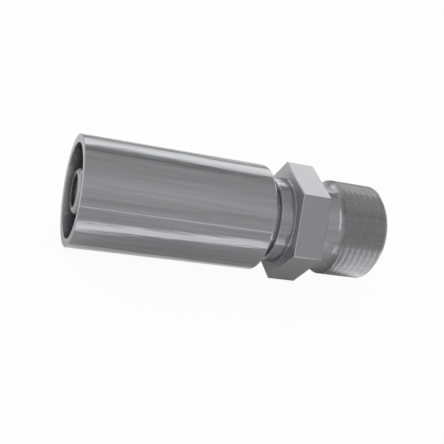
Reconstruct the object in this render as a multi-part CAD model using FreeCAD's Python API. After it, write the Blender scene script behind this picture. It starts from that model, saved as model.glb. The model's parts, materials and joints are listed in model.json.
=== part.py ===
import FreeCAD, Part
import math
import os

# Crimp hose fitting with a male threaded end, in millimetres. Two turned steel pieces share one
# axis: the stem, which is nipple, collar, hexagon and male end in one, and the crimp shell, which
# is locked in a groove of the stem and grips the hose.
# The fitting lies on the ground. +X runs along the axis from the hose mouth to the male end, +Z is
# up, two flats of the hexagon are level, and the origin is on the ground below the middle.

# Crimp shell. It stands a little above the hexagon's flats, so the fitting lies on its shell.
SHELL_ABOVE_FLATS = 0.2
SHELL_WALL = 2.45
SHELL_LENGTH = 56.7
SHELL_REAR_WALL = 5.0
SHELL_REAR_BEVEL = 0.5
GRIP_LEAD_IN = 5.0
GRIP_TOOTH_PITCH = 8.0
GRIP_TOOTH_RISE = 0.8
GRIP_TOOTH_STEP = 0.4
GRIP_TOOTH_HEIGHT = 1.0
GRIP_ROOT_DEPTH = 0.35
GRIP_TAIL = 3.0

# Nipple of the stem
NIPPLE_SETBACK = 0.55
NIPPLE_CREST_DIAMETER = 13.3
NIPPLE_NOSE_BEVEL = 0.5
NIPPLE_NOSE_LAND = 2.0
BARB_HEIGHT = 0.5
BARB_PITCH = 8.0
BARB_FALL = 0.5
PLAIN_TAIL = 3.0

# Lock between stem and shell
LOCK_GROOVE_DIAMETER = 17.0
LOCK_CLEARANCE = 0.05
HOSE_SHOULDER_DIAMETER = 18.8
HOSE_SHOULDER_LENGTH = 3.0
HOSE_SHOULDER_BEVEL = 0.6
LAND_DIAMETER = 23.3
LAND_LENGTH = 2.55

# Collar and hexagon of the stem
COLLAR_DIAMETER = 26.2
COLLAR_LENGTH = 4.9
COLLAR_BEVEL = 0.4
COLLAR_ROOT_BEVEL = 0.4
HEX_ACROSS_FLATS = 32.0
HEX_LENGTH = 9.2
HEX_EDGE_BREAK = 0.2

# Male end of the stem, thread M30 x 2 shown as its major cylinder
THREAD_DIAMETER = 30.0
THREAD_LENGTH = 15.4
THREAD_END_BEVEL = 1.8
NECK_DIAMETER = 27.0
NECK_LENGTH = 5.5
NECK_ROOT_BEVEL = 0.35

# Passage through the stem, from the nose to the cone seat
NIPPLE_PASSAGE = 9.4
NOSE_PASSAGE_BEVEL = 0.3
MALE_PASSAGE = 16.0
MALE_PASSAGE_STOP = 1.8
DRILL_POINT_ANGLE = 118.0
SOCKET_DIAMETER = 20.2
SOCKET_DEPTH = 10.5
CONE_MOUTH_DIAMETER = 22.9
CONE_ANGLE = 24.0

# Stations along the axis, measured from the shell's mouth
GROOVE_START = SHELL_LENGTH - SHELL_REAR_WALL - LOCK_CLEARANCE
GROOVE_END = SHELL_LENGTH + LOCK_CLEARANCE
COLLAR_START = GROOVE_END + LAND_LENGTH
HEX_START = COLLAR_START + COLLAR_LENGTH
HEX_END = HEX_START + HEX_LENGTH
RAMP_START = HEX_END + NECK_LENGTH
RAMP_END = RAMP_START + (THREAD_DIAMETER - NECK_DIAMETER) / 2
OVERALL_LENGTH = RAMP_END + THREAD_LENGTH

SHELL_DIAMETER = HEX_ACROSS_FLATS + 2 * SHELL_ABOVE_FLATS
AXIS_HEIGHT = max(SHELL_DIAMETER, HEX_ACROSS_FLATS) / 2
HEX_CORNER_RADIUS = HEX_ACROSS_FLATS / math.sqrt(3)

AXIS_START = FreeCAD.Vector(0, 0, 0)
AXIS = FreeCAD.Vector(1, 0, 0)


def turned(stations):
    """Solid of revolution about the axis, from the (x, radius) stations around its half section."""
    points = [FreeCAD.Vector(x, 0, radius) for x, radius in stations]
    section = Part.Face(Part.makePolygon(points + points[:1]))
    return section.revolve(AXIS_START, AXIS, 360)


def hexagon_bar():
    """Slice of hexagon bar, flats level, with its end edges lightly broken."""
    corners = []
    for k in range(7):
        angle = math.radians(60 * k)
        y = HEX_CORNER_RADIUS * math.cos(angle)
        z = HEX_CORNER_RADIUS * math.sin(angle)
        corners.append(FreeCAD.Vector(HEX_START, y, z))
    bar = Part.Face(Part.makePolygon(corners)).extrude(AXIS * HEX_LENGTH)
    end_edges = [edge for edge in bar.Edges if edge.BoundBox.XLength < HEX_EDGE_BREAK]
    return bar.makeChamfer(HEX_EDGE_BREAK, end_edges)


def barb_stations(first, last, crest, root):
    """Saw-tooth barbs: each rises slowly towards the hexagon and falls away steeply."""
    count = int((last - first) / BARB_PITCH)
    stations = []
    for k in range(count):
        start = first + k * BARB_PITCH
        stations.append((start, root))
        stations.append((start + BARB_PITCH - BARB_FALL, crest))
    stations.append((first + count * BARB_PITCH, root))
    return stations


def make_stem():
    """Stem: turned from hexagon bar, nose first, then bored through."""
    crest = NIPPLE_CREST_DIAMETER / 2
    root = crest - BARB_HEIGHT
    shoulder = HOSE_SHOULDER_DIAMETER / 2
    shoulder_start = GROOVE_START - HOSE_SHOULDER_LENGTH
    barbs_start = NIPPLE_SETBACK + NIPPLE_NOSE_BEVEL + NIPPLE_NOSE_LAND + BARB_FALL
    collar = COLLAR_DIAMETER / 2
    neck = NECK_DIAMETER / 2
    thread = THREAD_DIAMETER / 2
    collar_root = collar + COLLAR_ROOT_BEVEL
    neck_root = neck + NECK_ROOT_BEVEL

    nose = [
        (NIPPLE_SETBACK, 0),
        (NIPPLE_SETBACK, crest - NIPPLE_NOSE_BEVEL),
        (NIPPLE_SETBACK + NIPPLE_NOSE_BEVEL, crest),
        (barbs_start - BARB_FALL, crest),
    ]
    barbs = barb_stations(barbs_start, shoulder_start - PLAIN_TAIL, crest, root)
    lock = [
        (shoulder_start, root),
        (shoulder_start, shoulder - HOSE_SHOULDER_BEVEL),
        (shoulder_start + HOSE_SHOULDER_BEVEL, shoulder),
        (GROOVE_START, shoulder),
        (GROOVE_START, LOCK_GROOVE_DIAMETER / 2),
        (GROOVE_END, LOCK_GROOVE_DIAMETER / 2),
        (GROOVE_END, LAND_DIAMETER / 2),
        (COLLAR_START, LAND_DIAMETER / 2),
    ]
    body = [
        (COLLAR_START, collar - COLLAR_BEVEL),
        (COLLAR_START + COLLAR_BEVEL, collar),
        (HEX_START - COLLAR_ROOT_BEVEL, collar),
        (HEX_START, collar_root),
        (HEX_END, neck_root),
        (HEX_END + NECK_ROOT_BEVEL, neck),
    ]
    male_end = [
        (RAMP_START, neck),
        (RAMP_END, thread),
        (OVERALL_LENGTH - THREAD_END_BEVEL, thread),
        (OVERALL_LENGTH, thread - THREAD_END_BEVEL),
        (OVERALL_LENGTH, 0),
    ]
    blank = turned(nose + barbs + lock + body + male_end).fuse(hexagon_bar()).removeSplitter()
    return blank.cut(make_passage()).Solids[0]


def make_passage():
    """Oil passage: nipple bore, wider drilled bore, tube socket and cone seat."""
    nipple = NIPPLE_PASSAGE / 2
    drilled = MALE_PASSAGE / 2
    socket = SOCKET_DIAMETER / 2
    mouth = CONE_MOUTH_DIAMETER / 2
    drill_stop = HEX_START + MALE_PASSAGE_STOP
    drill_point = (drilled - nipple) / math.tan(math.radians(DRILL_POINT_ANGLE / 2))
    cone_depth = (mouth - socket) / math.tan(math.radians(CONE_ANGLE / 2))
    return turned([
        (NIPPLE_SETBACK, 0),
        (NIPPLE_SETBACK, nipple + NOSE_PASSAGE_BEVEL),
        (NIPPLE_SETBACK + NOSE_PASSAGE_BEVEL, nipple),
        (drill_stop - drill_point, nipple),
        (drill_stop, drilled),
        (OVERALL_LENGTH - SOCKET_DEPTH, drilled),
        (OVERALL_LENGTH - SOCKET_DEPTH, socket),
        (OVERALL_LENGTH - cone_depth, socket),
        (OVERALL_LENGTH, mouth),
        (OVERALL_LENGTH, 0),
    ])


def tooth_stations(first, last, root):
    """Ring teeth of the shell's bore: each slopes in to a sharp crest and steps back out steeply."""
    tip = root - GRIP_TOOTH_HEIGHT
    count = int((last - first) / GRIP_TOOTH_PITCH)
    stations = []
    for k in range(count):
        start = first + k * GRIP_TOOTH_PITCH
        crest = start + GRIP_TOOTH_PITCH - GRIP_TOOTH_STEP
        stations.append((start, root))
        stations.append((crest - GRIP_TOOTH_RISE, root))
        stations.append((crest, tip))
    stations.append((first + count * GRIP_TOOTH_PITCH, root))
    return stations


def make_shell():
    """Crimp shell: a tube with ring teeth inside and a rear wall that sits in the lock groove."""
    outside = SHELL_DIAMETER / 2
    bore = outside - SHELL_WALL
    root = bore + GRIP_ROOT_DEPTH
    rear_hole = LOCK_GROOVE_DIAMETER / 2 + LOCK_CLEARANCE
    wall_start = SHELL_LENGTH - SHELL_REAR_WALL
    teeth = tooth_stations(GRIP_LEAD_IN, wall_start - GRIP_TAIL, root)
    return turned([
        (0, outside),
        (0, bore),
        (GRIP_LEAD_IN, bore),
        *teeth,
        (teeth[-1][0], bore),
        (wall_start, bore),
        (wall_start, rear_hole),
        (SHELL_LENGTH, rear_hole),
        (SHELL_LENGTH, outside - SHELL_REAR_BEVEL),
        (SHELL_LENGTH - SHELL_REAR_BEVEL, outside),
    ])


def place(shape):
    """Move a piece from the axis frame to where the fitting lies on the ground."""
    return shape.translated(FreeCAD.Vector(-OVERALL_LENGTH / 2, 0, AXIS_HEIGHT))


os.makedirs("parts", exist_ok=True)
for node, make in (("stem", make_stem), ("crimp_shell", make_shell)):
    piece = place(make())
    piece.exportStep("parts/" + node + ".step")
    box = piece.BoundBox
    print(node, piece.ShapeType, len(piece.Solids), "solid", "valid", piece.isValid(),
          "volume", round(piece.Volume, 1), "mm3",
          "x", round(box.XMin, 3), round(box.XMax, 3), "z", round(box.ZMin, 3), round(box.ZMax, 3))
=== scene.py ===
# %% [markdown]
# # A hydraulic hose fitting in turned steel
# The fitting has two steel pieces on one axis. The stem is barbed nipple, collar, hexagon and male
# thread in one, and the crimp shell is the tube around the nipple. The hose goes between them.
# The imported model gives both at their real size. This lesson makes each piece again with its fine
# rounds and a light thread groove, gives it a steel finish, and lights it in a plain pale studio.

# %% Load the frame
import json
import math

import bpy
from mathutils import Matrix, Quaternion, Vector


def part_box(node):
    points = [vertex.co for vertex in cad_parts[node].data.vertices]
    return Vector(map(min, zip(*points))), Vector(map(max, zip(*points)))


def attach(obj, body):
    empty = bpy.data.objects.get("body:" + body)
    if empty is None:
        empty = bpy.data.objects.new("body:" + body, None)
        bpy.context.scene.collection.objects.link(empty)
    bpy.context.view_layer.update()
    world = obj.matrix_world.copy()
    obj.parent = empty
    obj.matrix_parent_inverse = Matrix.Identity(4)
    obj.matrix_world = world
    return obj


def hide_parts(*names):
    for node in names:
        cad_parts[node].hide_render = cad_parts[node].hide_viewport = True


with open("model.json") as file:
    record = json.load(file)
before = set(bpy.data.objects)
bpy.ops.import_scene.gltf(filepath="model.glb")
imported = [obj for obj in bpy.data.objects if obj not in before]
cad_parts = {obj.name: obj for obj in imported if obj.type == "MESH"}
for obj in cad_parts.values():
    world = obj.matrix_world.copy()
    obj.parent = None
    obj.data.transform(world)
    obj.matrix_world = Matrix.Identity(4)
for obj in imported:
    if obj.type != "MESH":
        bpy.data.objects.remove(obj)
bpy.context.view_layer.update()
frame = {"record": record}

# %% [markdown]
# Lengths are easier to read in millimetres, so one value turns them into Blender's metres. The
# places of the two pieces come from the frame: where the axis lies, where each piece starts and
# ends, and how wide the hexagon is across its corners.

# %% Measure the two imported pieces
MM = 0.001
stem_low, stem_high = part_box("stem")
shell_low, shell_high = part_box("crimp_shell")
mounts = {mount["name"]: mount for mount in frame["record"]["mounts"]}

axis_height = (shell_low.z + shell_high.z) / 2
mouth_x = shell_low.x
shell_radius = (shell_high.z - shell_low.z) / 2
shell_length = shell_high.x - shell_low.x
nose = stem_low.x - mouth_x
male_end = stem_high.x - mouth_x
hexagon_corner = (stem_high.y - stem_low.y) / 2
thread_radius = mounts["male_thread"]["dims"]["r_mm"] * MM
socket_radius = mounts["tube_socket"]["dims"]["r_mm"] * MM
print("shell radius", round(shell_radius / MM, 2), "mm, overall", round(male_end / MM, 1), "mm")

# %% [markdown]
# Turned parts are drawn as half a section and spun around the axis, which is what a lathe does. By
# hand, that starts from one point, extrudes it from corner to corner, and bevels the points where
# the real piece has a round. A section is a list of corners: place along the axis from the shell's
# mouth, radius, and the length that a round takes from each side of the corner, or 0.

# %% Draw half a section
ROUND_STEPS = 5
TOUCH = 0.0005 * MM


def only(piece):
    """Make this the one selected piece, in object mode."""
    bpy.ops.object.select_all(action="DESELECT")
    piece.select_set(True)
    bpy.context.view_layer.objects.active = piece


def select_points(piece, places):
    """Select the vertices that lie at these places, and go to edit mode."""
    bpy.ops.object.mode_set(mode="EDIT")
    bpy.ops.mesh.select_all(action="DESELECT")
    bpy.ops.mesh.select_mode(type="VERT")
    bpy.ops.object.mode_set(mode="OBJECT")
    for vertex in piece.data.vertices:
        vertex.select = any((vertex.co - place).length < TOUCH for place in places)
    bpy.ops.object.mode_set(mode="EDIT")


def draw_section(name, corners, closed):
    """Chain of edges through the corners, drawn in the upright plane through the axis."""
    places = [Vector((mouth_x + x, 0, radius)) for x, radius, rounding in corners]
    bpy.ops.object.select_all(action="DESELECT")
    bpy.ops.mesh.primitive_plane_add(size=MM, location=(0, 0, axis_height))
    section = bpy.context.object
    section.name = name
    bpy.ops.object.mode_set(mode="EDIT")
    bpy.ops.mesh.select_all(action="SELECT")
    bpy.ops.mesh.merge(type="CENTER")
    bpy.ops.transform.translate(value=places[0])
    for start, end in zip(places, places[1:]):
        bpy.ops.mesh.extrude_vertices_move(TRANSFORM_OT_translate={"value": end - start})
    if closed:
        select_points(section, [places[0], places[-1]])
        bpy.ops.mesh.edge_face_add()
    for place, (x, radius, rounding) in zip(places, corners):
        if rounding > 0:
            select_points(section, [place])
            bpy.ops.mesh.bevel(offset=rounding, offset_type="OFFSET", segments=ROUND_STEPS,
                               affect="VERTICES")
    bpy.ops.object.mode_set(mode="OBJECT")
    print(name, "section:", len(section.data.vertices), "points")
    return section


# %% [markdown]
# Spin turns the section into a solid. Its first and last copies meet, and points on the axis fall
# together, so doubles are merged and the normals are turned outwards afterwards.

# %% Spin a section into a solid
SPIN_STEPS = 160


def spin_solid(section, steps):
    """Turn the section once around the axis and close it."""
    only(section)
    bpy.ops.object.mode_set(mode="EDIT")
    bpy.ops.mesh.select_all(action="SELECT")
    bpy.ops.mesh.spin(steps=steps, dupli=False, angle=2 * math.pi,
                      center=(0, 0, axis_height), axis=(1, 0, 0))
    bpy.ops.mesh.select_all(action="SELECT")
    bpy.ops.mesh.remove_doubles(threshold=TOUCH)
    bpy.ops.mesh.normals_make_consistent(inside=False)
    bpy.ops.object.mode_set(mode="OBJECT")
    bpy.ops.object.transform_apply(location=True, rotation=True, scale=True)
    return section


def combine(piece, tool, operation):
    """Unite a piece with a tool, or cut the tool out of it, and drop the tool."""
    only(piece)
    modifier = piece.modifiers.new(operation.lower(), "BOOLEAN")
    modifier.operation = operation
    modifier.object = tool
    modifier.solver = "EXACT"
    bpy.ops.object.modifier_apply(modifier=modifier.name)
    bpy.data.objects.remove(tool)
    print(operation.lower(), "leaves", len(piece.data.polygons), "faces on", piece.name)


# %% [markdown]
# ## The stem
# A real stem is turned from hexagon bar. The nipple at the hose side has saw-tooth barbs that let
# the hose slide on and hold it back. Behind them come a shoulder, the groove that the shell locks
# into, a land, the stop collar, the hexagon, a narrow neck and the threaded end.
# Every outside corner has a small break of about a tenth of a millimetre, because a sharp edge
# would catch no light at all.

# %% Sizes of the stem
crest = 6.65 * MM
nose_bevel = 0.5 * MM
nose_round = 0.9 * MM
nose_land = 2.0 * MM
barb_count = 5
barb_pitch = 8.0 * MM
barb_height = 0.5 * MM
barb_fall = 0.5 * MM
shoulder_start = 48.65 * MM
shoulder_radius = 9.4 * MM
shoulder_bevel = 0.6 * MM
groove_start = 51.65 * MM
groove_end = 56.75 * MM
groove_radius = 8.5 * MM
land_radius = 11.65 * MM
collar_start = 59.3 * MM
collar_radius = 13.1 * MM
collar_bevel = 0.4 * MM
collar_root_round = 0.35 * MM
hexagon_start = 64.2 * MM
hexagon_end = 73.4 * MM
core_radius = 14.6 * MM
neck_radius = 13.5 * MM
neck_root_round = 0.6 * MM
ramp_start = 78.9 * MM
ramp_round = 0.3 * MM
end_bevel = 1.8 * MM
edge_break = 0.1 * MM
ramp_end = ramp_start + thread_radius - neck_radius
barbs_start = nose + nose_bevel + nose_land + barb_fall

# %% Turn the blank of the stem
barb_root = crest - barb_height
barbs = []
for k in range(barb_count):
    barbs.append((barbs_start + k * barb_pitch, barb_root, 0))
    barbs.append((barbs_start + (k + 1) * barb_pitch - barb_fall, crest, 0))
barbs.append((barbs_start + barb_count * barb_pitch, barb_root, 0))

blank_corners = [
    (nose, 0, 0),
    (nose, crest - nose_round, nose_round * 0.4),
    (nose + nose_round, crest, nose_round * 0.4),
    (barbs_start - barb_fall, crest, edge_break),
    *barbs,
    (shoulder_start, barb_root, 0),
    (shoulder_start, shoulder_radius - shoulder_bevel, edge_break),
    (shoulder_start + shoulder_bevel, shoulder_radius, edge_break),
    (groove_start, shoulder_radius, 0),
    (groove_start, groove_radius, 0),
    (groove_end, groove_radius, 0),
    (groove_end, land_radius, 0),
    (collar_start, land_radius, 0),
    (collar_start, collar_radius - collar_bevel, edge_break),
    (collar_start + collar_bevel, collar_radius, edge_break),
    (hexagon_start, collar_radius, collar_root_round),
    (hexagon_start, core_radius, 0),
    (hexagon_end, core_radius, 0),
    (hexagon_end, neck_radius, neck_root_round),
    (ramp_start, neck_radius, ramp_round),
    (ramp_end, thread_radius, edge_break),
    (male_end - end_bevel, thread_radius, edge_break),
    (male_end, thread_radius - end_bevel, edge_break),
    (male_end, 0, 0),
]
stem = spin_solid(draw_section("fitting_stem", blank_corners, closed=False), SPIN_STEPS)

# %% [markdown]
# The hexagon is a six-sided cylinder of the bar's size, laid along the axis with two flats level.
# Its fillets against the collar and the neck touch its end faces, so it starts and ends exactly
# there. A one-step bevel breaks all of its edges, and the bright lines along them come from that.
# One step is enough: with more, the smooth shading would bend across the flats.

# %% Add the hexagon
HEXAGON_SIDES = 6
hexagon_edge_break = 0.25 * MM

bpy.ops.object.select_all(action="DESELECT")
bpy.ops.mesh.primitive_cylinder_add(
    vertices=HEXAGON_SIDES, radius=hexagon_corner, depth=hexagon_end - hexagon_start,
    location=(mouth_x + (hexagon_start + hexagon_end) / 2, 0, axis_height),
    rotation=(0, math.pi / 2, 0))
hexagon = bpy.context.object
bpy.ops.object.transform_apply(location=True, rotation=True, scale=True)
bpy.ops.object.mode_set(mode="EDIT")
bpy.ops.mesh.select_all(action="SELECT")
bpy.ops.mesh.bevel(offset=hexagon_edge_break, offset_type="OFFSET", segments=1, affect="EDGES")
bpy.ops.object.mode_set(mode="OBJECT")
lows = [min(v.co[k] for v in hexagon.data.vertices) / MM for k in range(3)]
highs = [max(v.co[k] for v in hexagon.data.vertices) / MM for k in range(3)]
print("hexagon from", [round(c, 2) for c in lows], "to", [round(c, 2) for c in highs])
combine(stem, hexagon, "UNION")

# %% [markdown]
# A real M30 thread with a 27 mm neck has a pitch of 2 mm, 60 degree flanks and a depth of 1.23 mm.
# Here the pitch is the real one, but the groove is only 0.065 mm deep with nearly flat flanks,
# because the thread on the fitting that is shown looks almost smooth. It is not a working thread.
# The Screw modifier winds the tool's shape around the axis, one pitch a turn, from the air over the
# neck to the air past the end face, and the blank loses what the tool passes through. So the groove
# runs out over the ramp and the end bevel by itself.

# %% Cut the thread
thread_pitch = 2.0 * MM
thread_depth = 0.065 * MM
flank_angle = math.radians(84.5)
root_half = 0.05 * MM
tool_clearance = 0.02 * MM
THREAD_STEPS = 96

outer_half = root_half + (thread_depth + tool_clearance) * math.tan(flank_angle)
root_radius = thread_radius - thread_depth
outer_radius = thread_radius + tool_clearance
tool_start = ramp_start - thread_pitch / 4
tool_turns = math.ceil((male_end - tool_start) / thread_pitch) + 1
tool_corners = [
    (tool_start - outer_half, outer_radius, 0),
    (tool_start - root_half, root_radius, root_half / 2),
    (tool_start + root_half, root_radius, root_half / 2),
    (tool_start + outer_half, outer_radius, 0),
]
tool = draw_section("thread_tool", tool_corners, closed=True)
only(tool)
screw = tool.modifiers.new("wind", "SCREW")
screw.axis = "X"
screw.angle = 2 * math.pi
screw.screw_offset = thread_pitch
screw.iterations = tool_turns
screw.steps = THREAD_STEPS
screw.render_steps = THREAD_STEPS
bpy.ops.object.modifier_apply(modifier=screw.name)
bpy.ops.object.transform_apply(location=True, rotation=True, scale=True)
bpy.ops.object.mode_set(mode="EDIT")
bpy.ops.mesh.select_all(action="SELECT")
bpy.ops.mesh.fill_holes(sides=0)
bpy.ops.mesh.select_all(action="SELECT")
bpy.ops.mesh.normals_make_consistent(inside=False)
bpy.ops.object.mode_set(mode="OBJECT")
print("thread tool:", tool_turns, "turns,", len(tool.data.polygons), "faces")
combine(stem, tool, "DIFFERENCE")

# %% [markdown]
# The oil passage runs through the whole stem: the nipple's bore with a small break at the nose, the
# wider bore drilled from the male end with its 118 degree point, the socket that a tube stops in,
# and the 24 degree cone that seals. The drill starts and ends in the air past both end faces.

# %% Bore the passage
nipple_bore = 4.7 * MM
nose_break = 0.3 * MM
drilled_bore = 8.0 * MM
drill_stop = 66.0 * MM
drill_half_angle = math.radians(59)
socket_depth = 10.5 * MM
cone_mouth = 11.45 * MM
cone_half_angle = math.radians(12)
overrun = 1.0 * MM
BORE_STEPS = 128

drill_point = (drilled_bore - nipple_bore) / math.tan(drill_half_angle)
cone_depth = (cone_mouth - socket_radius) / math.tan(cone_half_angle)
cone_overrun = overrun * math.tan(cone_half_angle)
passage_corners = [
    (nose - overrun, 0, 0),
    (nose - overrun, nipple_bore + nose_break + overrun, 0),
    (nose + nose_break, nipple_bore, 0),
    (drill_stop - drill_point, nipple_bore, 0),
    (drill_stop, drilled_bore, 0),
    (male_end - socket_depth, drilled_bore, 0),
    (male_end - socket_depth, socket_radius, 0),
    (male_end - cone_depth, socket_radius, 0),
    (male_end + overrun, cone_mouth + cone_overrun, 0),
    (male_end + overrun, 0, 0),
]
passage = spin_solid(draw_section("passage", passage_corners, closed=False), BORE_STEPS)
combine(stem, passage, "DIFFERENCE")

# %% [markdown]
# ## The crimp shell
# The shell is a turned tube. Inside, five ring teeth bite into the hose when the shell is crimped,
# and its rear wall sits in the stem's groove. Its section is a closed ring, so it is spun whole.
# The mouth is nearly sharp and the rear edge is rounded by a little under a millimetre.

# %% Turn the shell
shell_bore = 13.75 * MM
rear_wall = 5.0 * MM
rear_hole = 8.55 * MM
rear_round = 0.8 * MM
mouth_break = 0.12 * MM
tooth_count = 5
tooth_lead_in = 5.0 * MM
tooth_pitch = 8.0 * MM
tooth_height = 1.0 * MM
tooth_rise = 0.8 * MM
tooth_step = 0.4 * MM
tooth_root = 14.1 * MM

teeth = []
for k in range(tooth_count):
    tip_x = tooth_lead_in + (k + 1) * tooth_pitch - tooth_step
    teeth.append((tooth_lead_in + k * tooth_pitch, tooth_root, 0))
    teeth.append((tip_x - tooth_rise, tooth_root, 0))
    teeth.append((tip_x, tooth_root - tooth_height, 0))
teeth_end = tooth_lead_in + tooth_count * tooth_pitch
wall_start = shell_length - rear_wall

shell_corners = [
    (0, shell_radius, mouth_break),
    (0, shell_bore, mouth_break),
    (tooth_lead_in, shell_bore, 0),
    *teeth,
    (teeth_end, tooth_root, 0),
    (teeth_end, shell_bore, 0),
    (wall_start, shell_bore, 0),
    (wall_start, rear_hole, 0),
    (shell_length, rear_hole, 0),
    (shell_length, shell_radius, rear_round),
]
shell = spin_solid(draw_section("hose_shell", shell_corners, closed=True), SPIN_STEPS)

# %% [markdown]
# Both pieces are shaded smooth along their turned faces and sharp across their corners. Faces that
# meet at less than the given angle share their shading.

# %% Shade the pieces
SMOOTH_ANGLE = math.radians(28)

for piece in (stem, shell):
    only(piece)
    bpy.ops.object.shade_smooth_by_angle(angle=SMOOTH_ANGLE)
    print(piece.name, len(piece.data.vertices), "vertices", len(piece.data.polygons), "faces")

# %% [markdown]
# ## Steel
# A material is a small graph of nodes. To write its maths as plain Python, a number in the graph is
# wrapped in a class whose operators add Math nodes. Every other node comes from one method.

# %% Wrap shader numbers
class Number:
    """A number in a material. Python's operators on it add Math nodes."""

    def __init__(self, graph, socket):
        self.graph = graph
        self.socket = socket

    def math(self, operation, first, second=0.0):
        node = self.graph.node("ShaderNodeMath", {"operation": operation}, {0: first, 1: second})
        return Number(self.graph, node.outputs[0])

    def __add__(self, other):
        return self.math("ADD", self, other)

    __radd__ = __add__

    def __sub__(self, other):
        return self.math("SUBTRACT", self, other)

    def __rsub__(self, other):
        return self.math("SUBTRACT", other, self)

    def __mul__(self, other):
        return self.math("MULTIPLY", self, other)

    __rmul__ = __mul__

    def __truediv__(self, other):
        return self.math("DIVIDE", self, other)

    def __pow__(self, other):
        return self.math("POWER", self, other)

    def between(self, low, high):
        """0 below low, 1 above high and smooth between them."""
        node = self.graph.node(
            "ShaderNodeMapRange", {"interpolation_type": "SMOOTHSTEP"},
            {"Value": self, "From Min": low, "From Max": high})
        return Number(self.graph, node.outputs["Result"])


class Graph:
    """The nodes of one material or world."""

    def __init__(self, owner):
        owner.use_nodes = True
        self.tree = owner.node_tree
        self.tree.nodes.clear()

    def node(self, kind, settings=None, inputs=None):
        """Add a node, set what it is told, then fill or link its sockets."""
        node = self.tree.nodes.new(kind)
        for name, value in (settings or {}).items():
            if name == "stops":
                ramp = node.color_ramp
                while len(ramp.elements) < len(value):
                    ramp.elements.new(1.0)
                for element, (place, level) in zip(ramp.elements, value):
                    element.position = place
                    element.color = (level, level, level, 1.0)
            else:
                setattr(node, name, value)
        for name, value in (inputs or {}).items():
            if isinstance(value, Number):
                value = value.socket
            if isinstance(value, bpy.types.NodeSocket):
                self.tree.links.new(value, node.inputs[name])
            else:
                node.inputs[name].default_value = value
        return node

    def number(self, kind, output, settings=None, inputs=None):
        """A node's output, ready for maths."""
        return Number(self, self.node(kind, settings, inputs).outputs[output])


# %% [markdown]
# Turned steel carries fine rings from the tool, and cold-drawn bar carries fine lines along it.
# Both are noise stretched one way: rings change only along the axis, lines change only around it.
# The patterns read Object coordinates, so they stay on the piece. A bump node makes them catch the
# light. Two heights work together. The rings are well under a micrometre, and broad flutes along
# the piece are a fifth of a millimetre of noise spread over many millimetres, so the steel still
# mirrors the room, in long soft streaks.

# %% Coordinates on a turned piece
def turned_coordinates(graph):
    """Place along the axis and radius in millimetres, and the angle around the axis in turns."""
    place = graph.node("ShaderNodeTexCoord").outputs["Object"]
    parts = graph.node("ShaderNodeSeparateXYZ", None, {"Vector": place}).outputs
    along = Number(graph, parts["X"]) / MM
    side = Number(graph, parts["Y"])
    up = Number(graph, parts["Z"]) - axis_height
    radius = ((side * side + up * up) ** 0.5) / MM
    angle = side.math("ARCTAN2", up, side * -1.0) / (2 * math.pi)
    return along, radius, angle


def streaks(graph, along, angle, radius, pattern):
    """Noise stretched by a pattern: its rates along, around and outwards, and its detail."""
    along_rate, angle_rate, radius_rate, detail = pattern
    place = graph.node("ShaderNodeCombineXYZ", None, {
        "X": along * along_rate, "Y": angle * angle_rate, "Z": radius * radius_rate})
    return graph.number("ShaderNodeTexNoise", "Fac", {"noise_dimensions": "3D"},
                        {"Vector": place.outputs[0], "Scale": 1.0, "Detail": detail})


# %% [markdown]
# The steel itself is one Principled shader: fully metallic, grey, with a roughness that drifts a
# little over the surface. The record's grey is taken down by one factor, because the steel that is
# shown mirrors only a little over a quarter of the light. Each piece gives three functions: one for
# the drift of its roughness, one for the height of its marks in metres, and one for a tint that
# makes parts of it lighter or darker.

# %% Build a steel
STEEL_TONE = 0.62


def steel(name, slot_colour, rough, rough_drift, height, tint):
    """A steel material from its marks. rough_drift, height and tint are functions of a graph."""
    material = bpy.data.materials.new(name)
    graph = Graph(material)
    place = turned_coordinates(graph)
    bump = graph.node("ShaderNodeBump", None, {
        "Strength": 1.0, "Distance": 1.0, "Height": height(graph, *place)})
    colour = graph.node("ShaderNodeMix", {"data_type": "RGBA", "blend_type": "MULTIPLY"}, {
        "Factor": 1.0, 6: (*[channel * STEEL_TONE for channel in slot_colour], 1.0)})
    shade = graph.node("ShaderNodeCombineColor", None, {
        channel: tint(graph, *place) for channel in ("Red", "Green", "Blue")})
    graph.tree.links.new(shade.outputs[0], colour.inputs[7])
    shader = graph.node("ShaderNodeBsdfPrincipled", None, {
        "Base Color": colour.outputs[2],
        "Metallic": 1.0,
        "Roughness": rough_drift(graph, *place) + rough,
        "Normal": bump.outputs["Normal"]})
    graph.node("ShaderNodeOutputMaterial", None, {"Surface": shader.outputs[0]})
    return material


colours = {entry["slot"]: entry["base_color"] for entry in frame["record"]["materials"]}
print("steel colours:", colours)

# %% [markdown]
# The shell is turned bright. A narrow line is painted along it, a little above the front, brighter
# than the steel beside it: a painted highlight. The rear edge has a painted highlight too, and the
# bore is rougher and painted lighter, standing in for light reaching into it, with random soft
# patches. The flutes fade out in front, so that they draw no rays on the mouth's face. Places along
# the axis are in millimetres, angles in turns.

# %% Finish of the shell
SHELL_DRIFT = (0.08, 9.0, 0.1, 2.0)
SHELL_RINGS = (5.0, 3.0, 5.0, 2.0)
SHELL_FLUTES = (0.025, 34.0, 0.1, 4.0)
BORE_PATCHES = (0.15, 12.0, 0.1, 2.0)
TURNED_LINES = (0.03, 90.0, 0.2, 3.0)
SHELL_ROUGHNESS = 0.15
INSIDE_ROUGHNESS = 0.12
INSIDE_RADIUS = 14.5
INSIDE_PATCHES = 0.9
# Painted light in the shell's bore.
INSIDE_PAINTED_LIGHT = 0.45
EDGE_RADIUS = 15.6
# Painted highlight on the shell's rear edge.
EDGE_HIGHLIGHT = 1.0
MARK_HEIGHT = 0.0004 * MM
FLUTE_HEIGHT = 0.23 * MM
# Painted highlight: a narrow bright line painted along the shell a little above the front.
HIGHLIGHT_LINE_ANGLE = 18.9 / 360
HIGHLIGHT_LINE_HALF_WIDTH = 0.6 / 360
HIGHLIGHT_LINE_BRIGHTNESS = 0.6
SHELL_GREY = 0.725
SHELL_LINES = 0.55
ROUGH_DRIFT = 0.06
MIDDLE = 0.5


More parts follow.
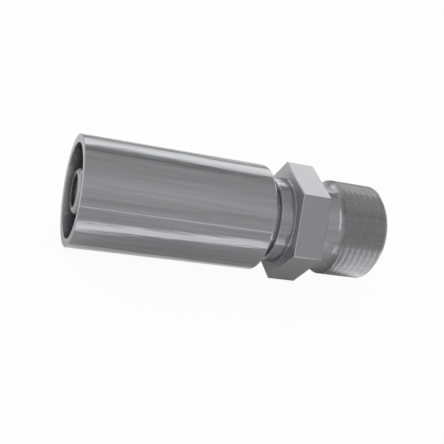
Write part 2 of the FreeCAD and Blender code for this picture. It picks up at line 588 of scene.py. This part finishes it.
def distance_between(number, place):
    """How far a number is from a place, without its sign."""
    offset = number - place
    return offset.math("ABSOLUTE", offset)


def inside_shell(radius):
    """1 in the shell's bore and 0 outside."""
    return 1 - radius.between(INSIDE_RADIUS - 0.2, INSIDE_RADIUS)


def highlight_line(angle):
    """1 on the painted highlight line and 0 beside it."""
    distance = distance_between(angle, HIGHLIGHT_LINE_ANGLE)
    return 1 - distance.between(HIGHLIGHT_LINE_HALF_WIDTH / 2, HIGHLIGHT_LINE_HALF_WIDTH)


def shell_drift(graph, along, radius, angle):
    patches = streaks(graph, along, angle, radius, SHELL_DRIFT)
    return (patches - MIDDLE) * ROUGH_DRIFT + inside_shell(radius) * INSIDE_ROUGHNESS


def shell_height(graph, along, radius, angle):
    rings = streaks(graph, along, angle, radius, SHELL_RINGS)
    flutes = streaks(graph, along, angle, radius, SHELL_FLUTES)
    behind_mouth = along.between(mouth_x / MM + 0.2, mouth_x / MM + 4.0)
    return rings * MARK_HEIGHT + (flutes - MIDDLE) * behind_mouth * FLUTE_HEIGHT


def shell_tint(graph, along, radius, angle):
    lines = streaks(graph, along, angle, radius, TURNED_LINES)
    patches = streaks(graph, along, angle, radius, BORE_PATCHES)
    rear = (mouth_x + shell_length) / MM
    # Painted highlight: the shell's rear edge is painted brighter.
    painted_edge_highlight = (along.between(rear - 0.6, rear - 0.3)
                 * radius.between(EDGE_RADIUS, EDGE_RADIUS + 0.2))
    # Painted light: the shell's bore is painted lighter, standing in for light reaching into it,
    # with random soft patches.
    bore = ((patches - MIDDLE) * INSIDE_PATCHES + INSIDE_PAINTED_LIGHT) * inside_shell(radius)
    return (SHELL_GREY + lines * SHELL_LINES + highlight_line(angle) * HIGHLIGHT_LINE_BRIGHTNESS
            + painted_edge_highlight * EDGE_HIGHLIGHT + bore)


shell_steel = steel("shell_steel_finish", colours["shell_steel"], SHELL_ROUGHNESS,
                    shell_drift, shell_height, shell_tint)
print(shell_steel.name, "has", len(shell_steel.node_tree.nodes), "nodes")

# %% [markdown]
# The stem has several finishes. The flats of the hexagon keep the drawn bar's lines, its end face
# is more matt from facing and painted lighter, the thread is rougher, darker and speckled, with a
# painted highlight band on its upper front, the bore is rough, and all else has the rings of the
# lathe. Masks along the axis, by radius and by angle blend them. The light marks on the nose, the
# collar's front edge and the neck are painted highlights, and the dark marks on the nose and the
# neck are painted shade, all at fixed places, so they don't move with the view, as a reflection
# would. The collar's flank is a little darker.

# %% Finish of the stem
STEM_DRIFT = (0.12, 7.0, 0.2, 2.0)
STEM_RINGS = (6.0, 3.0, 6.0, 2.0)
BAR_LINES = (0.05, 300.0, 0.05, 2.0)
STEM_FLUTES = (0.03, 30.0, 0.1, 4.0)
STEM_CLOUDS = (0.2, 12.0, 0.2, 3.0)
THREAD_SPECKS = (1.5, 120.0, 1.5, 2.0)
STEM_ROUGHNESS = 0.18
THREAD_ROUGHNESS = 0.2
BAR_ROUGHNESS = 0.05
FACE_ROUGHNESS = 0.25
# Painted light: the hexagon's end face is painted lighter.
FACE_PAINTED_LIGHT = 0.75
COLLAR_DARKENING = 0.1
BORE_ROUGHNESS = 0.35
BORE_RADIUS = 5.2
STEM_GREY = 0.95
STEM_PATCHES = 0.1
LINE_CONTRAST = 0.5
THREAD_DARKENING = 0.4
SPECKS = 0.25
# Painted highlight: a lighter band on the thread's upper front, at a fixed angle.
HIGHLIGHT_BAND_ANGLE = 0.2
HIGHLIGHT_BAND_FADE = (0.015, 0.06)
HIGHLIGHT_BAND_BRIGHTNESS = 0.22
# Painted highlight on the collar's front edge.
COLLAR_EDGE_HIGHLIGHT = 0.45
# Painted light and shade on the nose: one side painted lighter, the other darker.
NOSE_PAINTED_LIGHT = 0.4
NOSE_PAINTED_SHADE = 0.72
NOSE_LIT_TURN = 0.05
# Painted highlight and painted shade on the neck.
NECK_PAINTED_GLINT = 0.9
NECK_SHADE = 0.3
NECK_TOP_SHADE = 0.5


def station(place):
    """A place along the axis, from metres behind the mouth to millimetres on the object."""
    return (mouth_x + place) / MM


def band(value, first, second, third, fourth):
    """0 outside, 1 from the second to the third, and smooth between."""
    return value.between(first, second) * (1 - value.between(third, fourth))


def on_hexagon(along):
    start = station(hexagon_start)
    end = station(hexagon_end)
    return band(along, start - 0.05, start + 0.05, end - 0.05, end + 0.05)


def on_face(along, radius):
    """1 on the hexagon's end face towards the collar."""
    start = station(hexagon_start)
    outside = collar_radius / MM
    return (band(along, start - 0.3, start - 0.05, start + 0.05, start + 0.15)
            * radius.between(outside + 0.3, outside + 0.5))


def on_thread(along):
    start = station(ramp_start)
    return along.between(start, start + 1.5)


def stem_drift(graph, along, radius, angle):
    patches = streaks(graph, along, angle, radius, STEM_DRIFT)
    bore = 1 - radius.between(BORE_RADIUS - 0.3, BORE_RADIUS)
    return ((patches - MIDDLE) * ROUGH_DRIFT + on_thread(along) * THREAD_ROUGHNESS
            + on_hexagon(along) * BAR_ROUGHNESS + on_face(along, radius) * FACE_ROUGHNESS
            + bore * BORE_ROUGHNESS)


def stem_height(graph, along, radius, angle):
    rings = streaks(graph, along, angle, radius, STEM_RINGS)
    lines = streaks(graph, along, angle, radius, BAR_LINES)
    flutes = streaks(graph, along, angle, radius, STEM_FLUTES)
    bar = on_hexagon(along)
    return (lines * bar + rings * (1 - bar)) * MARK_HEIGHT + flutes * (1 - bar) * FLUTE_HEIGHT


def nose_painted_light_and_shade(along, angle):
    """The nose is painted bright on one side, most on its rim, and painted dark on the other:
    painted light and shade.
    """
    tip = station(nose)
    at_nose = 1 - along.between(tip + 0.9, tip + 1.1)
    facing = angle.math("COSINE", (angle - NOSE_LIT_TURN) * (2 * math.pi)).between(-0.3, 0.6)
    rim = 1 - along.between(tip + 0.45, tip + 0.65)
    return at_nose * (facing * (rim * NOSE_PAINTED_LIGHT + NOSE_PAINTED_SHADE) - NOSE_PAINTED_SHADE)


def collar_marks(along):
    """The collar's front edge has a painted highlight, and its flank is a little darker."""
    front = station(collar_start)
    back = station(hexagon_start)
    # Painted highlight along the collar's front edge.
    painted_edge_highlight = band(along, front - 0.1, front, front + 0.4, front + 0.5)
    flank = band(along, front + 0.4, front + 0.6, back - 0.4, back)
    return painted_edge_highlight * COLLAR_EDGE_HIGHLIGHT - flank * COLLAR_DARKENING


def neck_painted_light_and_shade(along, angle):
    """A painted highlight arc at the ramp's root, painted shade beside it and painted shade on the
    neck's top.
    """
    root = station(ramp_start)
    back = station(hexagon_end)
    # Painted highlight and painted shade on the neck, at fixed angles.
    painted_glint = (band(along, root - 0.3, root - 0.15, root + 0.15, root + 0.3)
             * band(angle, 0.08, 0.1, 0.15, 0.17))
    shaded = (band(along, root + 0.15, root + 0.3, root + 1.2, root + 1.5)
              * band(angle, 0.13, 0.16, 0.2, 0.22))
    top_shade = band(along, back, back + 0.3, root - 0.4, root) * angle.between(0.225, 0.26)
    return painted_glint * NECK_PAINTED_GLINT - shaded * NECK_SHADE - top_shade * NECK_TOP_SHADE


def stem_tint(graph, along, radius, angle):
    patches = streaks(graph, along, angle, radius, STEM_CLOUDS)
    specks = streaks(graph, along, angle, radius, THREAD_SPECKS)
    lines = streaks(graph, along, angle, radius, TURNED_LINES)
    turned = (lines - MIDDLE) * LINE_CONTRAST * (1 - on_hexagon(along))
    threaded = on_thread(along)
    # Painted highlight band on the thread, with more specks in it.
    away = distance_between(angle, HIGHLIGHT_BAND_ANGLE)
    highlight_band = (1 - away.between(*HIGHLIGHT_BAND_FADE)) * threaded
    grey = (STEM_GREY + patches * STEM_PATCHES + turned) * (1 - threaded * THREAD_DARKENING)
    thread_marks = (specks - MIDDLE) * (threaded + highlight_band) * SPECKS + highlight_band * HIGHLIGHT_BAND_BRIGHTNESS
    # The stem's painted highlights, painted shade and painted light are added to its grey here.
    return (grey + thread_marks + nose_painted_light_and_shade(along, angle) + collar_marks(along)
            + neck_painted_light_and_shade(along, angle) + on_face(along, radius) * FACE_PAINTED_LIGHT)


stem_steel = steel("stem_steel_finish", colours["stem_steel"], STEM_ROUGHNESS,
                   stem_drift, stem_height, stem_tint)
print(stem_steel.name, "has", len(stem_steel.node_tree.nodes), "nodes")

# %% Put the steels on and tie the pieces to the frame
for piece, material, node, slot in ((stem, stem_steel, "stem", "stem_steel"),
                                    (shell, shell_steel, "crimp_shell", "shell_steel")):
    piece.data.materials.clear()
    piece.data.materials.append(material)
    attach(piece, "root")
    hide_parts(node)
    print(piece.name, "replaces", node)

# %% [markdown]
# ## The studio
# Steel shows the room more than itself. The floor is plain pale paint. Light Path mixes white into
# it: nearly all of it for camera rays, so the ground of the picture is white, and a smaller share
# for glossy and transmission rays. So the steel mirrors a white floor too, and that floor keeps the
# fitting's own shadow, which is the darker band along the lower half of every turned face.

# %% Lay the floor
FLOOR_SIZE = 4.0
PALE = 0.8
WHITE_TO_CAMERA = 0.95
WHITE_TO_STEEL = 0.15

bpy.ops.object.select_all(action="DESELECT")
bpy.ops.mesh.primitive_plane_add(size=FLOOR_SIZE, location=(0, 0, 0))
floor = bpy.context.object
floor.name = "studio_floor"
floor_material = bpy.data.materials.new("floor_paint")
floor_graph = Graph(floor_material)
rays = floor_graph.node("ShaderNodeLightPath").outputs
to_camera = Number(floor_graph, rays["Is Camera Ray"])
to_steel = (Number(floor_graph, rays["Is Glossy Ray"])
            + Number(floor_graph, rays["Is Transmission Ray"]))
paint = floor_graph.node("ShaderNodeBsdfDiffuse", None, {"Color": (PALE, PALE, PALE, 1.0)})
white = floor_graph.node("ShaderNodeEmission", None, {"Color": (1, 1, 1, 1), "Strength": 1.0})
both = floor_graph.node("ShaderNodeMixShader", None, {
    0: to_camera * WHITE_TO_CAMERA + to_steel * WHITE_TO_STEEL,
    1: paint.outputs[0], 2: white.outputs[0]})
floor_graph.node("ShaderNodeOutputMaterial", None, {"Surface": both.outputs[0]})
floor.data.materials.append(floor_material)
print("floor:", FLOOR_SIZE, "m wide, paint", PALE)

# %% [markdown]
# The room is soft grey at a level near 1, so a colour renders about as it is written. A bright
# panel stands low behind the fitting with a dark gap above it, and they draw the bands along the
# top of every turned face. The level depends on the angle around the fitting's axis: 0 at the
# front horizon, a quarter of a turn overhead and half a turn at the horizon behind. A ramp holds
# it. Only towards the hose side does one even grey take over.

# %% Light the room
room_levels = [
    (0, 0.9), (12, 0.83), (25, 0.77), (40, 0.96), (60, 0.96), (85, 0.77), (118, 0.74), (128, 0.42),
    (134, 0.51), (140, 0.96), (143, 1.95), (147, 2.1), (160, 1.9), (168, 1.3), (175, 0.4),
    (180, 0.35),
]
HALF_TURN = 180
SIDE_LEVEL = 0.95
SIDE_FADE = (0.25, 0.6)

world = bpy.data.worlds.new("studio_room")
bpy.context.scene.world = world
room = Graph(world)
direction = room.node("ShaderNodeTexCoord").outputs["Generated"]
toward = room.node("ShaderNodeSeparateXYZ", None, {"Vector": direction}).outputs
height = Number(room, toward["Z"])
front = Number(room, toward["Y"]) * -1.0
half_turns = height.math("ARCTAN2", height, front) / math.pi
stops = [(degrees / HALF_TURN, level) for degrees, level in room_levels]
levels = room.node("ShaderNodeValToRGB", {"stops": stops}, {"Fac": half_turns})
hose_side = (Number(room, toward["X"]) * -1.0).between(*SIDE_FADE)
mixed = room.node("ShaderNodeMix", {"data_type": "RGBA"}, {
    "Factor": hose_side, 6: levels.outputs["Color"], 7: (SIDE_LEVEL, SIDE_LEVEL, SIDE_LEVEL, 1.0)})
background = room.node("ShaderNodeBackground", None, {"Color": mixed.outputs[2], "Strength": 1.0})
room.node("ShaderNodeOutputWorld", None, {"Surface": background.outputs[0]})
print("room:", len(room_levels), "levels from", min(level for angle, level in room_levels),
      "to", max(level for angle, level in room_levels))

# %% [markdown]
# A soft key lamp stands behind the hose side. It is kept out of mirror reflections, so it lights
# the floor and the shadows without drawing a band on the steel. Three flat lamps lie on the floor
# and face up, like light panels under a product, hidden from the camera. A long strip in front
# draws the bright band along the shell's lower front, a narrow one draws the light line along its
# lower edge, and a card beside the male end lights the thread.

# %% Add the lamps
def area_lamp(name, place, size, watts):
    """A soft oblong lamp that the camera doesn't see."""
    light = bpy.data.lights.new(name, "AREA")
    light.shape = "RECTANGLE"
    light.size, light.size_y = size
    light.energy = watts
    lamp = bpy.data.objects.new(name, light)
    lamp.location = place
    lamp.visible_camera = False
    bpy.context.scene.collection.objects.link(lamp)
    print(name, round(watts, 4), "W")
    return lamp


KEY_PLACE = Vector((-0.50, 0.42, 0.60))
KEY_SIZE = (0.35, 0.35)
KEY_WATTS = 1.0
key_lamp = area_lamp("key_lamp", KEY_PLACE, KEY_SIZE, KEY_WATTS)
key_lamp.rotation_euler = (-KEY_PLACE).to_track_quat("-Z", "Y").to_euler()
key_lamp.visible_glossy = False

# Each has its name, its place and size in millimetres, its turn in degrees and how bright it looks.
FLOOR_LAMPS = (
    ("front_strip", (-12.0, -44.0, 0.10), (100.0, 22.0), -8.0, 1.05),
    ("under_strip", (-19.5, -8.0, 0.10), (60.0, 6.0), 3.0, 0.35),
    ("thread_card", (84.0, -45.8, 0.08), (50.0, 100.0), 29.5, 1.75),
)
for name, place, size, turn, level in FLOOR_LAMPS:
    width, depth = [side * MM for side in size]
    lamp = area_lamp(name, Vector(place) * MM, (width, depth), math.pi * width * depth * level)
    lamp.rotation_euler = (math.pi, 0, math.radians(turn))

# %% [markdown]
# ## The camera
# It looks down over the shell's mouth, a little from the left, and it is rolled so that the
# fitting runs down to the right across the picture.

# %% Place the camera
CAMERA_PLACE = Vector((-83.48, -181.42, 132.77)) * MM
CAMERA_TARGET = Vector((-1.06, 0.0, 12.61)) * MM
CAMERA_ROLL = math.radians(21.19)
CAMERA_LENS = 61.64
SENSOR_WIDTH = 36.0

camera_data = bpy.data.cameras.new("camera")
camera_data.lens = CAMERA_LENS
camera_data.sensor_width = SENSOR_WIDTH
camera_data.sensor_fit = "HORIZONTAL"
camera_data.clip_start = 1.0 * MM
camera = bpy.data.objects.new("camera", camera_data)
look = (CAMERA_TARGET - CAMERA_PLACE).to_track_quat("-Z", "Y")
camera.rotation_mode = "QUATERNION"
camera.rotation_quaternion = look @ Quaternion((0, 0, 1), CAMERA_ROLL)
camera.location = CAMERA_PLACE
bpy.context.scene.collection.objects.link(camera)
bpy.context.scene.camera = camera
bpy.context.scene.view_settings.view_transform = "Standard"
bpy.context.view_layer.update()
print("camera axes:", [[round(c, 4) for c in row] for row in camera.matrix_world.to_3x3()])
